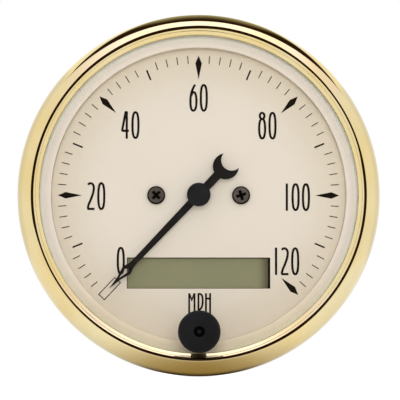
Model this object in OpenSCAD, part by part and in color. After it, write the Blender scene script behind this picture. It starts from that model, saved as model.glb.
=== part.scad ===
// Round panel speedometer with a pointer, a display window and a push button.
// Bench frame inside each module: x right, y up, z towards the driver, z = 0 on the panel's face.
// stand() turns that frame so that the finished part has +Z up and its dial faces -Y.

/* [Panel fit] */
// Diameter of the hole in the panel
panel_hole_d = 79.4; // [76:0.1:90]
// Gap between the case and the panel hole, all round
hole_gap = 0.45; // [0.25:0.05:0.6]
// Thickness of the panel that the bracket is set for
panel_t = 3; // [1:0.5:6]
// Width of the bezel's seat on the panel, past the hole
seat_w = 3.3; // [2.8:0.1:5]

/* [Bezel] */
// Thickness of the bezel's sheet
bezel_t = 0.8; // [0.6:0.1:1]
// Width of the slope from the bezel's edge to its crest
slope_w = 3.8; // [3.2:0.05:4.2]
// Width of the band from the crest in to the lip
band_w = 1.55; // [1.4:0.05:1.8]
// Radius of the roll at the crest
crest_roll = 1; // [0.9:0.05:1.2]
// Height of the crest in front of the lens
crest_rise = 2.4; // [2.2:0.1:3.5]
// Rise of the lip's cone from its edge to the crest's inner wall
lip_rise = 0.5; // [0.2:0.05:0.6]

/* [Lens and spacer ring] */
// Thickness of the lens
lens_t = 2; // [1.5:0.1:2.2]
// Thickness of the rubber gasket between case and lens
gasket_t = 3; // [2.6:0.1:3.4]
// Gap between the lens's edge and the bezel
lens_gap = 0.28; // [0.2:0.02:0.5]
// Depth from the back of the lens to the dial
dial_drop = 3.6; // [3.5:0.1:4.5]
// Width of the spacer ring on the dial
ring_w = 3.4; // [2:0.05:4]
// Thickness of the spacer ring's flat plate
ring_plate_t = 3; // [0.8:0.1:3.2]
// Thickness of the spacer ring's upstand
ring_wall = 0.5; // [0.4:0.05:0.6]

/* [Case] */
// Depth of the case behind the panel's face
case_depth = 58; // [56:1:75]
// Thickness of the case's sheet
case_wall = 0.8; // [0.6:0.05:0.85]
// Thickness of the case's rear wall
rear_wall = 1; // [0.8:0.1:1.5]
// Radius of the case's rear corner
case_corner = 3; // [1.5:0.5:4]

/* [Dial] */
// Thickness of the dial
dial_t = 0.8; // [0.6:0.1:1.2]
// Width of the display window
window_w = 34.1; // [28:0.1:35]
// Height of the display window
window_h = 7.4; // [6:0.1:8]
// Distance of the display window below the pointer's axis
window_drop = 18.5; // [18.3:0.1:19.5]
// Distance of each dial screw from the pointer's axis
dial_screw_x = 10.1; // [9.8:0.1:10.8]
// Diameter of a dial screw's head
dial_screw_head = 4.2; // [3.6:0.1:4.4]
// Diameter of a dial screw's thread
dial_screw_d = 2.5; // [2:0.1:2.6]

/* [Scale] */
// Distance of the ticks and kites inside the spacer ring
scale_inset = 1.5; // [1:0.1:4]
// Length of a fine tick
fine_len = 1.9; // [1:0.1:2.5]
// Width of a fine tick
fine_w = 0.2; // [0.1:0.01:0.3]
// Length of a heavy tick
heavy_len = 2.55; // [1.5:0.05:3.5]
// Width of a heavy tick
heavy_w = 0.38; // [0.2:0.02:0.5]
// Distance of the heavy ticks inside the outer radius
heavy_inset = 1.05; // [0:0.05:1.5]
// Length of a kite
kite_len = 5.7; // [4:0.1:6.5]
// Width of a kite
kite_w = 1.55; // [0.8:0.05:1.8]
// Distance from a kite's outer point to its widest place
kite_shoulder = 1.85; // [1.2:0.05:3]
// Angle from one kite to the next
kite_step = 45; // [40:1:45]
// Width of the outlined box at zero
box_w = 2.06; // [1.5:0.02:2.4]
// Thickness of the printed ink
ink_t = 0.04; // [0.03:0.01:0.1]

/* [Pointer] */
// Length of the pointer from its axis to its tip
pointer_len = 30.6; // [28:0.1:31.5]
// Thickness of the pointer's plate
pointer_t = 0.5; // [0.3:0.05:0.6]
// Width of the arm at the hub
arm_w = 1.86; // [1.4:0.02:2.4]
// Width of the arm where the head begins
arm_tip_w = 1.3; // [0.9:0.02:1.6]
// Width of the head at its shoulders
head_w = 2.5; // [2:0.05:3]
// Length of the head
head_len = 8.4; // [7.5:0.1:9.5]
// Distance from the axis to the centre of the tail's crescent
tail_len = 9.35; // [8.5:0.05:10.5]
// Outer radius of the crescent
crescent_r = 3.1; // [2.8:0.05:3.4]
// Radius of the bite that makes the crescent
bite_r = 2.5; // [2.2:0.05:2.7]
// Diameter of the cap over the hub
cap_d = 5.6; // [4.6:0.05:6.5]
// Diameter of the spindle
spindle_d = 1.2; // [1:0.05:1.5]
// Angle below the horizontal at which the pointer rests
rest_drop = 46.4; // [44:0.1:48]

/* [Reset button] */
// Diameter of the button
button_d = 9.9; // [8:0.1:10]
// Thickness of the button
button_t = 5; // [4.6:0.1:7]
// Distance of the button below the pointer's axis
button_drop = 32.6; // [32.2:0.1:32.8]
// Diameter of the button's stem
stem_d = 3.2; // [2.8:0.1:3.4]
// Travel of the button
press_travel = 0.9; // [0.5:0.1:1]
// Gap between the lens and the button at rest
button_gap = 3.6; // [1.3:0.1:4.5]
// Wire diameter of the return spring
spring_wire = 0.5; // [0.4:0.05:0.5]

/* [Movement and board] */
// Thickness of the white light diffuser behind the dial
diffuser_t = 4; // [3.5:0.1:5]
// Thickness of the movement's bridge
bridge_t = 2.6; // [2.2:0.1:3.2]
// Diameter of the shield can
can_d = 20.8; // [20.4:0.1:21.6]
// Diameter of the rotor magnet
magnet_d = 8; // [6:0.1:8.6]
// Thickness of the rotor magnet
magnet_t = 3.6; // [2.5:0.1:4]
// Thickness of a circuit board
board_t = 1.6; // [1:0.1:2]
// Distance of the board's pillars from the pointer's axis
pillar_ring = 31; // [30.4:0.1:32]

/* [Rear fittings] */
// Distance of each lamp from the middle, sideways
lamp_x = 20; // [18.5:0.1:21]
// Height of the lamps above the middle
lamp_y = 21; // [20.5:0.1:22]
// Diameter of a lamp socket's barrel
socket_d = 11.8; // [11:0.1:12.2]
// Diameter of a lamp
lamp_d = 9.2; // [7:0.1:9.3]
// Distance of each mounting stud from the middle
stud_x = 19; // [18:0.1:24]
// Diameter of a mounting stud
stud_d = 4; // [3.6:0.1:4.4]
// Length of a stud behind the case
stud_len = 20; // [17:0.5:25]
// Width of the bracket's strap
strap_w = 18; // [14:0.5:19]
// Thickness of the bracket's strap
strap_t = 1.6; // [1.2:0.1:1.8]
// Gap between the case's rear and the bracket
strap_gap = 6.4; // [5:0.1:8]
// Gap between the case's side and each leg of the bracket
strap_side_gap = 1.5; // [1.3:0.1:1.6]
// Width of a blade terminal
blade_w = 6.3; // [4.8:0.1:6.8]
// Length of a blade behind the terminal block
blade_len = 9; // [7:0.5:12]
// Distance between neighbouring blades
blade_pitch = 8; // [6:0.1:8.5]

/* [Hidden] */
$fn = 96;

// Clearances
fix_gap = 0.01;      // between pieces that are fixed together
run_gap = 0.05;      // between a shaft and the bore that it turns or slides in
part_gap = 0.1;      // between pieces that lie side by side
touch_gap = 0.05;    // between the stem and the switch at rest
flange_gap = 0.1;    // between the case's flange and the bezel's skirt
cut = 1;             // how far a cutter runs past the face that it cuts

// Radii, from the panel hole outwards and inwards
bezel_r = panel_hole_d / 2 + seat_w;
crest_r = bezel_r - slope_w;
lip_r = crest_r - band_w;
case_r = panel_hole_d / 2 - hole_gap;
case_ir = case_r - case_wall;
flange_r = bezel_r - bezel_t - flange_gap;
shoulder_r = panel_hole_d / 2 - fix_gap;

// Heights, from the panel's face forwards
flange_z = bezel_t + case_wall;
lens_z = flange_z + gasket_t;
lens_front = lens_z + lens_t;
crest_z = lens_front + crest_rise;
dial_front = lens_z - dial_drop;
dial_back = dial_front - dial_t;

// The bezel's outer slope is one arc that meets the crest's roll at this tilt
slope_tilt = 35;
roll_tilt = 60;
slope_r = (slope_w - crest_roll * sin(slope_tilt)) / (1 - sin(slope_tilt));
slope_cx = bezel_r - slope_r;
slope_cz = crest_z - crest_roll * (1 - cos(slope_tilt)) - slope_r * cos(slope_tilt);
crest_cz = crest_z - crest_roll;
edge_round = 0.6;

// Lens, gasket and spacer ring
lens_r = slope_cx + sqrt(pow(slope_r - bezel_t, 2) - pow(lens_front - slope_cz, 2)) - lens_gap;
gasket_ir = case_ir + part_gap;
ring_r = case_ir - run_gap;
scale_r = ring_r - ring_w - scale_inset;
stem_hole_r = stem_d / 2 + 0.4;

// Dial and what is behind it
dial_r = case_ir - 0.35;
diffuser_r = case_ir - 0.2;
diffuser_back = dial_back - diffuser_t;
hairspring_room = 6;
bridge_back = diffuser_back - bridge_t;

// Coils of the movement, each a rectangular loop round the bobbin
coil_t = 1.6;
coil_w = 9.2;
bobbin_w = 12.4;
bobbin_h = 7.2;
cosine_h = bobbin_h + 2 * coil_t;
sine_h = cosine_h + 2 * coil_t;
post_r = 1.9;
coil_air = 1;
movement_z = bridge_back - coil_air - sine_h / 2;
board_front = movement_z - sine_h / 2 - coil_air;
board_back = board_front - board_t;
bearing_r = 1.2;
spindle_r = spindle_d / 2;
spindle_back = movement_z - sine_h / 2 + 0.5;

// Pointer
pointer_air = 1.9;
pointer_z = dial_front + pointer_air;
pointer_front = pointer_z + pointer_t;
cap_t = 0.7;
hub_air = 0.5;
hub_r = 1.9;
screw_head_t = 1.1;

// Display
display_y = -window_drop;
lcd_w = window_w + 3.7;
lcd_h = window_h + 2.8;
lcd_t = 1.8;
lcd_front = dial_back - 0.4;
lcd_back = lcd_front - lcd_t;
strip_t = 3;
display_front = lcd_back - strip_t;
display_back = display_front - board_t;
holder_w = lcd_w + 3;
holder_h = lcd_h + 2.2;
pin_count = 10;
pin_w = 0.64;
pin_pitch = 2.54;

// Board, and the components on its back
board_r = case_ir - 2;
chip_w = 10;
chip_t = 1.5;
chip_lift = 0.3;
chip_y = 11;
chip_lead = 0.6;
capacitor_r = 4;
capacitor_h = 9;
capacitor_step = 11;
capacitor_y = -6;
regulator = [10, 4.5, 15];
regulator_at = [-16, 7.5];
crystal_can = [11, 4.6, 3.5];
crystal_at = [14, 8];
pillar_r = 2.6;
pillar_pin_r = 1.2;
pillar_pin_len = 2;
pillar_angles = [90, 210, 330];
screw_m3_r = 1.5;
screw_m3_in = 6;
screw_m3_bore = 8;
screw_m3_head_r = 2.8;
screw_m3_head_t = 2;
screw_m3_cross = 3;
lamp_notch_r = 9.5;

// Reset button
button_back = lens_front + button_gap;
button_front = button_back + button_t;
button_grip = 3.4;
dimple_r = 1.3;
dimple_t = 0.6;
dimple_dot_r = 0.45;
dimple_dot_t = 0.45;
stem_r = stem_d / 2;
bush_flange_t = 1.5;
bush_back = diffuser_back - bush_flange_t;
bush_r = stem_r + 1.3;
collar_r = stem_r + 1.4;
collar_t = 1.5;
collar_front = bush_back - part_gap;
collar_back = collar_front - collar_t;
switch_w = 6;
switch_h = 3.4;
switch_front = board_front + switch_h;
plunger_r = 1.3;
plunger_out = 1.2;
plunger_in = 1.6;
plunger_front = switch_front + plunger_out;
plunger_back = switch_front - plunger_in;
stem_back = plunger_front + touch_gap;
seat_t = 0.5;
spring_z0 = switch_front + seat_t;
spring_z1 = collar_back;
spring_r = stem_r + 0.3 + spring_wire / 2;
spring_turns = 7;

// Case and rear fittings
case_back = -case_depth;
floor_z = case_back + rear_wall;
block_end = 5;
block_w = 3 * blade_pitch + 2 * block_end;
block_h = blade_w + 6.7;
block_y = -20;
block_out = 6;
block_in = 5;
block_lip = 1;
blade_t = 0.8;
blade_x = [for (i = [-1.5:1:1.5]) i * blade_pitch];
lead_r = 0.6;
socket_r = socket_d / 2;
socket_hole_r = socket_r + 0.2;
socket_flange_r = socket_r + 2.3;
socket_flange_t = 2.2;
socket_gap = 0.3;
socket_in = 13;
socket_front = floor_z + socket_in;
grip_len = 5.5;
grip_w = 3;
lug_out = 1.5;
lug_w = 3;
lug_t = 1.5;
lamp_r = lamp_d / 2;
lamp_base = 6;
lamp_out = 12;
stud_r = stud_d / 2;
stud_back = case_back - stud_len;
stud_head_r = stud_r + 2.5;
stud_head_t = 2;
nut_af = stud_d + 3;
nut_t = 3.2;
strap_front = case_back - strap_gap;
strap_back = strap_front - strap_t;
strap_in = case_r + strap_side_gap;
strap_out = strap_in + strap_t;
strap_bend = 2;
washer_r = stud_r + 1.9;
washer_t = 0.9;

// Turns the bench frame so that z points to -Y and y to +Z
module stand() rotate([90, 0, 0]) children();

// Points along an arc from angle a0 to a1
function arc(cx, cy, r, a0, a1, n = 8) =
    [for (i = [0:n]) let (a = a0 + (a1 - a0) * i / n) [cx + r * cos(a), cy + r * sin(a)]];

module up(z) translate([0, 0, z]) children();

// A disc or tube between two heights
module tube(r, z0, z1, bore = 0) up(z0) difference() {
    cylinder(r = r, h = z1 - z0);
    if (bore > 0) up(-cut) cylinder(r = bore, h = z1 - z0 + 2 * cut);
}

// A box centred on x and y between two heights
module slab(w, h, z0, z1) translate([-w / 2, -h / 2, z0]) cube([w, h, z1 - z0]);

module at_dial_screws() for (side = [-1, 1]) translate([side * dial_screw_x, 0, 0]) children();
module at_pillars() for (a = pillar_angles)
    translate([pillar_ring * cos(a), pillar_ring * sin(a), 0]) children();
module at_button() translate([0, -button_drop, 0]) children();
module at_display() translate([0, display_y, 0]) children();
module at_studs() for (side = [-1, 1]) translate([side * stud_x, 0, 0]) children();
module at_lamp(side) translate([side * lamp_x, lamp_y, 0]) children();
module at_block() translate([0, block_y, 0]) children();

// Cross recess of a screw, cut down from z = 0
module cross_recess(size, deep) for (a = [0, 90]) rotate([0, 0, a])
    slab(size, size * 0.28, -deep, cut);

module bezel() color("#dcc487") stand() rotate_extrude($fn = 180) polygon(concat(
    [[panel_hole_d / 2, 0]],
    arc(bezel_r - edge_round, edge_round, edge_round, -90, 0, 4),
    arc(slope_cx, slope_cz, slope_r, 0, 90 - slope_tilt, 14),
    arc(crest_r, crest_cz, crest_roll, 90 - slope_tilt + 9, 90 + roll_tilt, 10),
    [[crest_r - crest_roll * sin(roll_tilt), lens_front + bezel_t + lip_rise]],
    [[lip_r, lens_front + bezel_t], [lip_r, lens_front]],
    [[crest_r - crest_roll + bezel_t * 0.8, lens_front]],
    arc(crest_r, crest_cz, crest_roll - bezel_t, 180, 90 - slope_tilt, 8),
    arc(slope_cx, slope_cz, slope_r - bezel_t, 90 - slope_tilt - 5, 0, 12),
    [[bezel_r - bezel_t, bezel_t], [panel_hole_d / 2, bezel_t]]
));

module lens() color("#eef4f4") stand() difference() {
    tube(lens_r, lens_z, lens_front);
    at_button() tube(stem_hole_r, lens_z - cut, lens_front + cut);
}

module lens_gasket() color("#1c1c1c") stand() tube(lens_r, flange_z, lens_z, gasket_ir);

module spacer_ring() color("#dfd2bc") stand() {
    tube(ring_r, dial_front, dial_front + ring_plate_t, ring_r - ring_w);
    tube(ring_r, dial_front + ring_plate_t, lens_z, ring_r - ring_wall);
}

module dial() color("#ddd3c0") stand() difference() {
    tube(dial_r, dial_back, dial_front, 1.5);
    at_dial_screws() tube(dial_screw_d / 2 + part_gap, dial_back - cut, dial_front + cut);
    at_button() tube(stem_hole_r, dial_back - cut, dial_front + cut);
    at_display() slab(window_w, window_h, dial_back - cut, dial_front + cut);
}

// The scale turns clockwise from zero at the lower left, 22.5 degrees for each 10
zero_angle = 180 + kite_step;
fine_count = 60;
fine_step = kite_step / 10;
module on_scale(i) rotate([0, 0, zero_angle - i * fine_step]) children();
module tick(r1, len, w) translate([r1 - len, -w / 2, dial_front]) cube([len, w, ink_t]);
module kite() up(dial_front) linear_extrude(ink_t) polygon([
    [scale_r - kite_len, 0], [scale_r - kite_shoulder, kite_w / 2],
    [scale_r, 0], [scale_r - kite_shoulder, -kite_w / 2]
]);
module zero_box() rotate([0, 0, 180 + rest_drop]) up(dial_front) linear_extrude(ink_t)
    difference() {
        translate([scale_r - kite_len, -box_w / 2]) square([kite_len, box_w]);
        translate([scale_r - kite_len + fine_w, -box_w / 2 + fine_w])
            square([kite_len - 2 * fine_w, box_w - 2 * fine_w]);
    }

module scale_markings() color("#2a2420") stand() {
    zero_box();
    for (i = [1:fine_count]) on_scale(i)
        if (i % 10 == 0) kite();
        else if (i % 5 == 0) tick(scale_r - heavy_inset, heavy_len, heavy_w);
        else tick(scale_r, fine_len, fine_w);
}

module dial_screws() color("#3d372f") stand() at_dial_screws() difference() {
    union() {
        tube(dial_screw_head / 2, dial_front, dial_front + screw_head_t);
        tube(dial_screw_d / 2, bridge_back, dial_front);
    }
    up(dial_front + screw_head_t) cross_recess(dial_screw_head * 0.55, screw_head_t * 0.6);
}

// Pointer outline: u runs along the pointer, from the tail to the tip
head_u = pointer_len - head_len;
shoulder_u = head_u + 2.6;
tip_u = pointer_len - 3.3;
eye_u = shoulder_u - 0.65;
crescent_shift = 2;
module half_turn() {
    children();
    mirror([0, 1, 0]) children();
}
module pointer_outline() {
    half_turn() polygon(concat(
        [[-tail_len + crescent_r - 0.5, 0], [-tail_len + crescent_r - 0.5, 1.05], [0, 0.95]],
        [[0, arm_w / 2], [head_u, arm_tip_w / 2]],
        [[head_u + 1.1, arm_tip_w / 2 + 0.16], [head_u + 1.9, head_w / 2 - 0.2]],
        [[shoulder_u, head_w / 2], [tip_u, 0.5], [pointer_len, 0.04], [pointer_len, 0]]
    ));
    difference() {
        translate([-tail_len, 0]) circle(crescent_r);
        translate([-tail_len - crescent_shift, 0]) circle(bite_r);
    }
}
module pointer_eye() polygon([[eye_u, 0], [shoulder_u, 0.55], [tip_u, 0], [shoulder_u, -0.55]]);
module pointer_turn() rotate([0, 0, 180 + rest_drop]) children();

module pointer() color("#26292c") stand() pointer_turn() up(pointer_z)
    linear_extrude(pointer_t) difference() {
        pointer_outline();
        pointer_eye();
        circle(spindle_r + fix_gap);
    }

module pointer_cap() color("#23262a") stand() tube(cap_d / 2, pointer_front, pointer_front + cap_t);

module pointer_hub() color("#303030") stand()
    tube(hub_r, dial_front + hub_air, pointer_z, spindle_r + fix_gap);

module spindle() color("#c9ccd0") stand() tube(spindle_r, spindle_back, pointer_front);

collet_r = 1.2;
hairspring_z = diffuser_back + 1.2;
module hairspring_collet() color("#b08d57") stand()
    tube(collet_r, hairspring_z - 0.3, hairspring_z + 0.9, spindle_r + fix_gap);

// Flat spiral from the collet out to the peg on the bridge
coil_turns = 3;
coil_wire = 0.12;
peg_r = 0.5;
peg_at = 5;
function spiral_r(t) = collet_r + 0.2 + (peg_at - peg_r - collet_r - 0.2) * t;
function spiral(side) = [for (i = [0:72]) let (t = i / 72, r = spiral_r(t) + side * coil_wire / 2,
    a = 360 * coil_turns * t) [r * cos(a), r * sin(a)]];
function reversed(list) = [for (i = [len(list) - 1:-1:0]) list[i]];
module hairspring() color("#9aa0a8") stand() up(hairspring_z) linear_extrude(0.6)
    polygon(concat(spiral(1), reversed(spiral(-1))));

module rotor_magnet() color("#55585c") stand()
    tube(magnet_d / 2, movement_z - magnet_t / 2, movement_z + magnet_t / 2, spindle_r + fix_gap);

// Each half of the bobbin has half of the rotor's chamber and a post for a bearing
chamber_r = magnet_d / 2 + 0.6;
chamber_h = magnet_t + 1.2;
module bobbin_half() difference() {
    union() {
        slab(bobbin_w, bobbin_w, 0, bobbin_h / 2);
        tube(post_r, bobbin_h / 2, sine_h / 2 + coil_air);
    }
    tube(chamber_r, -cut, chamber_h / 2);
    tube(bearing_r + fix_gap, -cut, sine_h / 2 + coil_air + cut);
}
module bobbin_front() color("#2e2e30") stand() up(movement_z) bobbin_half();
module bobbin_rear() color("#38383a") stand() up(movement_z) mirror([0, 0, 1]) bobbin_half();

module coil(inner_h) difference() {
    slab(bobbin_w + 2 * coil_t, coil_w, -inner_h / 2 - coil_t, inner_h / 2 + coil_t);
    slab(bobbin_w, coil_w + 2 * cut, -inner_h / 2, inner_h / 2);
    tube(post_r + part_gap, -sine_h, sine_h);
}
module cosine_coil() color("#b5562c") stand() up(movement_z) coil(bobbin_h);
module sine_coil() color("#a64a24") stand() up(movement_z) rotate([0, 0, 90]) coil(cosine_h);

can_wall = 0.8;
module shield_can() color("#9ea2a6") stand()
    tube(can_d / 2, board_front, bridge_back, can_d / 2 - can_wall);

front_bearing_r = 1.4;
module movement_bridge() color("#e6e6e2") stand() {
    difference() {
        union() {
            tube(can_d / 2, bridge_back, diffuser_back);
            slab(2 * dial_screw_x, 6, bridge_back, diffuser_back);
            at_dial_screws() tube(3, bridge_back, diffuser_back);
        }
        tube(front_bearing_r + fix_gap, bridge_back - cut, diffuser_back + cut);
        at_dial_screws() tube(dial_screw_d / 2 + fix_gap, bridge_back - cut, diffuser_back + cut);
    }
    translate([peg_at, 0, 0]) tube(peg_r, diffuser_back, hairspring_z + 0.6);
}

module front_bearing() color("#b59a55") stand() {
    tube(front_bearing_r, bridge_back, diffuser_back, spindle_r + run_gap);
    tube(front_bearing_r + 0.8, diffuser_back, diffuser_back + 0.5, spindle_r + run_gap);
}
module rear_bearing() color("#b59a55") stand()
    tube(bearing_r, board_front, movement_z - bobbin_h / 2, spindle_r + run_gap);

module light_diffuser() color("#f2f2ee") stand() difference() {
    tube(diffuser_r, diffuser_back, dial_back, hairspring_room);
    at_dial_screws() tube(dial_screw_d / 2 + part_gap, diffuser_back - cut, dial_back + cut);
    at_button() tube(bush_r + fix_gap, diffuser_back - cut, dial_back + cut);
    at_display() slab(holder_w + 2 * part_gap, holder_h + 2 * part_gap,
        diffuser_back - cut, dial_back + cut);
    at_pillars() tube(pillar_pin_r + run_gap, diffuser_back - cut,
        diffuser_back + pillar_pin_len + part_gap);
}

module lcd_panel() color("#86856a") stand() at_display() slab(lcd_w, lcd_h, lcd_back, lcd_front);

module lcd_holder() color("#2b2b2b") stand() at_display() difference() {
    slab(holder_w, holder_h, display_front, dial_back);
    slab(lcd_w + part_gap, lcd_h + part_gap, display_front - cut, dial_back + cut);
}

module contact_strips() color("#c77a8c") stand() at_display()
    for (side = [-1, 1]) translate([0, side * (lcd_h / 2 - 0.9), 0])
        slab(lcd_w - 2, 1.2, display_front, lcd_back);

module display_board() color("#2f6b3c") stand() at_display()
    slab(holder_w, holder_h, display_back, display_front);

pin_y = display_y - 3.4;
module display_pins() color("#c9b26a") stand() translate([0, pin_y, 0]) {
    slab(pin_count * pin_pitch, 2.5, board_front, board_front + 2.5);
    for (i = [0:pin_count - 1]) translate([(i - (pin_count - 1) / 2) * pin_pitch, 0, 0])
        slab(pin_w, pin_w, board_front + 2.5, display_back);
}

module main_board() color("#2f6b3c") stand() difference() {
    tube(board_r, board_back, board_front);
    for (side = [-1, 1]) at_lamp(side) tube(lamp_notch_r, board_back - cut, board_front + cut);
    at_pillars() tube(screw_m3_r + part_gap, board_back - cut, board_front + cut);
}

module microcontroller() color("#1d1d1f") stand() translate([0, chip_y, board_back]) {
    slab(chip_w, chip_w, -chip_lift - chip_t, -chip_lift);
    for (a = [0, 90, 180, 270], i = [-4:4]) rotate([0, 0, a])
        translate([chip_w / 2 + chip_lead - run_gap, i * chip_w / 10, 0])
            slab(2 * chip_lead, chip_w / 25, -chip_lift - 0.2, 0);
}

module capacitors() color("#2a3550") stand() for (i = [-1:1])
    translate([i * capacitor_step, capacitor_y, board_back]) tube(capacitor_r, -capacitor_h, 0);

module voltage_regulator() color("#202022") stand() translate(regulator_at)
    slab(regulator[0], regulator[1], board_back - regulator[2], board_back);

module crystal() color("#c4c7ca") stand() translate(crystal_at)
    slab(crystal_can[0], crystal_can[1], board_back - crystal_can[2], board_back);

module front_pillars() color("#d8d8d2") stand() at_pillars() {
    tube(pillar_r, board_front, diffuser_back);
    tube(pillar_pin_r, diffuser_back, diffuser_back + pillar_pin_len);
}
module rear_pillars() color("#bfc2c6") stand() at_pillars() {
    difference() {
        tube(pillar_r, floor_z, board_back);
        tube(screw_m3_r + fix_gap, floor_z - cut, floor_z + screw_m3_bore);
    }
    tube(screw_m3_r, board_back, board_front);
}
module pillar_screws() color("#c8cbd0") stand() at_pillars() difference() {
    union() {
        tube(screw_m3_head_r, case_back - screw_m3_head_t, case_back);
        tube(screw_m3_r, case_back, floor_z + screw_m3_in);
    }
    up(case_back - screw_m3_head_t) mirror([0, 0, 1])
        cross_recess(screw_m3_cross, screw_m3_head_t * 0.55);
}

module reset_knob() color("#262626") stand() at_button() {
    difference() {
        rotate_extrude() polygon(concat(
            [[0, button_back]],
            arc(button_d / 2 - 0.3, button_back + 0.3, 0.3, -90, 0, 3),
            arc(button_d / 2 - edge_round, button_front - edge_round, edge_round, 0, 90, 5),
            [[dimple_r, button_front], [dimple_r, button_front - dimple_t], [0, button_front - dimple_t]]
        ));
        tube(stem_r + fix_gap, button_back - cut, button_back + button_grip);
    }
    tube(dimple_dot_r, button_front - dimple_t, button_front - dimple_t + dimple_dot_t);
}

module reset_stem() color("#3a3a3a") stand() at_button() {
    tube(stem_r, stem_back, button_back + button_grip);
    tube(collar_r, collar_back, collar_front);
}

module stem_bush() color("#d9cda0") stand() at_button() {
    tube(bush_r, diffuser_back, dial_back, stem_r + run_gap);
    tube(bush_r + 1.2, bush_back, diffuser_back, stem_r + run_gap);
}

// One unbroken helix of wire, each ring of 6 points square to the wire
rings_per_turn = 8;
function helix(t) = let (a = 360 * spring_turns * t, z0 = spring_z0 + spring_wire / 2,
    z1 = spring_z1 - spring_wire / 2)
    [spring_r * cos(a), spring_r * sin(a), z0 + (z1 - z0) * t];
function ring_points(t) = let (a = 360 * spring_turns * t, c = helix(t))
    [for (k = [0:5]) let (b = 60 * k) c + spring_wire / 2 *
        [cos(b) * cos(a), cos(b) * sin(a), sin(b)]];
module reset_spring() color("#b9bdc2") stand() at_button() {
    rings = spring_turns * rings_per_turn;
    points = [for (i = [0:rings]) each ring_points(i / rings)];
    sides = [for (i = [0:rings - 1], k = [0:5]) let (a = i * 6 + k, b = i * 6 + (k + 1) % 6)
        each [[a, b, b + 6], [a, b + 6, a + 6]]];
    caps = [[5, 4, 3], [5, 3, 2], [5, 2, 1], [5, 1, 0]];
    last = [for (f = caps) [for (k = [2:-1:0]) f[k] + rings * 6]];
    polyhedron(points, concat(sides, caps, last));
}
echo("least gap between the spring's turns",
    (spring_z1 - spring_z0 - spring_wire) / spring_turns - spring_wire);

module spring_seat() color("#c8cbd0") stand() at_button()
    tube(collar_r, switch_front, spring_z0, stem_r + part_gap);

module reset_switch() color("#1f1f21") stand() at_button() difference() {
    slab(switch_w, switch_w, board_front, switch_front);
    tube(plunger_r + run_gap, plunger_back - press_travel - 0.3, switch_front + cut);
}
module switch_plunger() color("#b8b0a0") stand() at_button()
    tube(plunger_r, plunger_back, plunger_front);

// The case's shoulder lies inside the bezel's seat and centres it
module case_profile() polygon(concat(
    [[0, case_back]],
    arc(case_r - case_corner, case_back + case_corner, case_corner, -90, 0, 6),
    [[case_r, 0], [shoulder_r, 0], [shoulder_r, bezel_t]],
    [[flange_r, bezel_t], [flange_r, flange_z], [case_ir, flange_z]],
    arc(case_r - case_corner, case_back + case_corner, case_corner - case_wall, 0, -90, 6),
    [[0, case_back + case_wall]]
));
module case() color("#2b2c2e") stand() difference() {
    union() {
        rotate_extrude($fn = 180) case_profile();
        tube(case_r - case_corner, case_back, floor_z);
    }
    for (side = [-1, 1]) at_lamp(side) {
        tube(socket_hole_r, case_back - cut, floor_z + cut);
        rotate([0, 0, 45])
            slab(2 * (socket_r + lug_out) + 0.6, lug_w + 0.6, case_back - cut, floor_z + cut);
    }
    at_block() slab(block_w - 2 * block_lip + 2 * part_gap, block_h - 2 * block_lip + 2 * part_gap,
        case_back - cut, floor_z + cut);
    at_studs() tube(stud_r + part_gap, case_back - cut, floor_z + cut);
    at_pillars() tube(screw_m3_r + part_gap, case_back - cut, floor_z + cut);
}

module terminal_block() color("#1e1f22") stand() at_block() difference() {
    union() {
        slab(block_w, block_h, case_back - block_out, case_back);
        slab(block_w - 2 * block_lip, block_h - 2 * block_lip, case_back, floor_z + block_in);
    }
    for (x = blade_x) translate([x, 0, 0])
        slab(blade_t + 2 * fix_gap, blade_w + 2 * fix_gap,
            case_back - block_out - cut, floor_z + block_in + cut);
}
module blade_terminals() color("#c9b26a") stand() at_block() for (x = blade_x)
    translate([x, 0, 0]) slab(blade_t, blade_w, case_back - block_out - blade_len, floor_z + block_in);
module terminal_leads() color("#b87333") stand() at_block() for (x = blade_x)
    translate([x, 0, 0]) tube(lead_r, floor_z + block_in, board_back);

module lamp_socket(side) at_lamp(side) {
    difference() {
        union() {
            tube(socket_flange_r, case_back - socket_gap - socket_flange_t, case_back - socket_gap);
            tube(socket_r, case_back - socket_gap, socket_front);
            slab(2 * socket_r, grip_w, case_back - socket_gap - socket_flange_t - grip_len,
                case_back - socket_gap - socket_flange_t);
            slab(2 * (socket_r + lug_out), lug_w, floor_z + 0.3, floor_z + 0.3 + lug_t);
        }
        tube(lamp_r + part_gap, socket_front - lamp_base, socket_front + cut);
    }
}
module lamp_socket_left() color("#2a2c30") stand() lamp_socket(-1);
module lamp_socket_right() color("#2a2c30") stand() lamp_socket(1);

module lamp(side) at_lamp(side) {
    tube(lamp_r, socket_front - lamp_base, socket_front + lamp_out - lamp_r);
    up(socket_front + lamp_out - lamp_r) sphere(lamp_r);
}
module lamp_left() color("#e8efe9") stand() lamp(-1);
module lamp_right() color("#e8efe9") stand() lamp(1);

module hex_nut(z0, z1, bore) up(z0) difference() {
    cylinder(r = nut_af / 2 / cos(30), h = z1 - z0, $fn = 6);
    up(-cut) cylinder(r = bore, h = z1 - z0 + 2 * cut);
}
module mounting_studs() color("#c8cbd0") stand() at_studs() {
    tube(stud_head_r, floor_z, floor_z + stud_head_t);
    tube(stud_r, stud_back, floor_z);
}
module stud_nuts() color("#c3c6ca") stand() at_studs()
    hex_nut(case_back - nut_t, case_back, stud_r + fix_gap);

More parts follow.
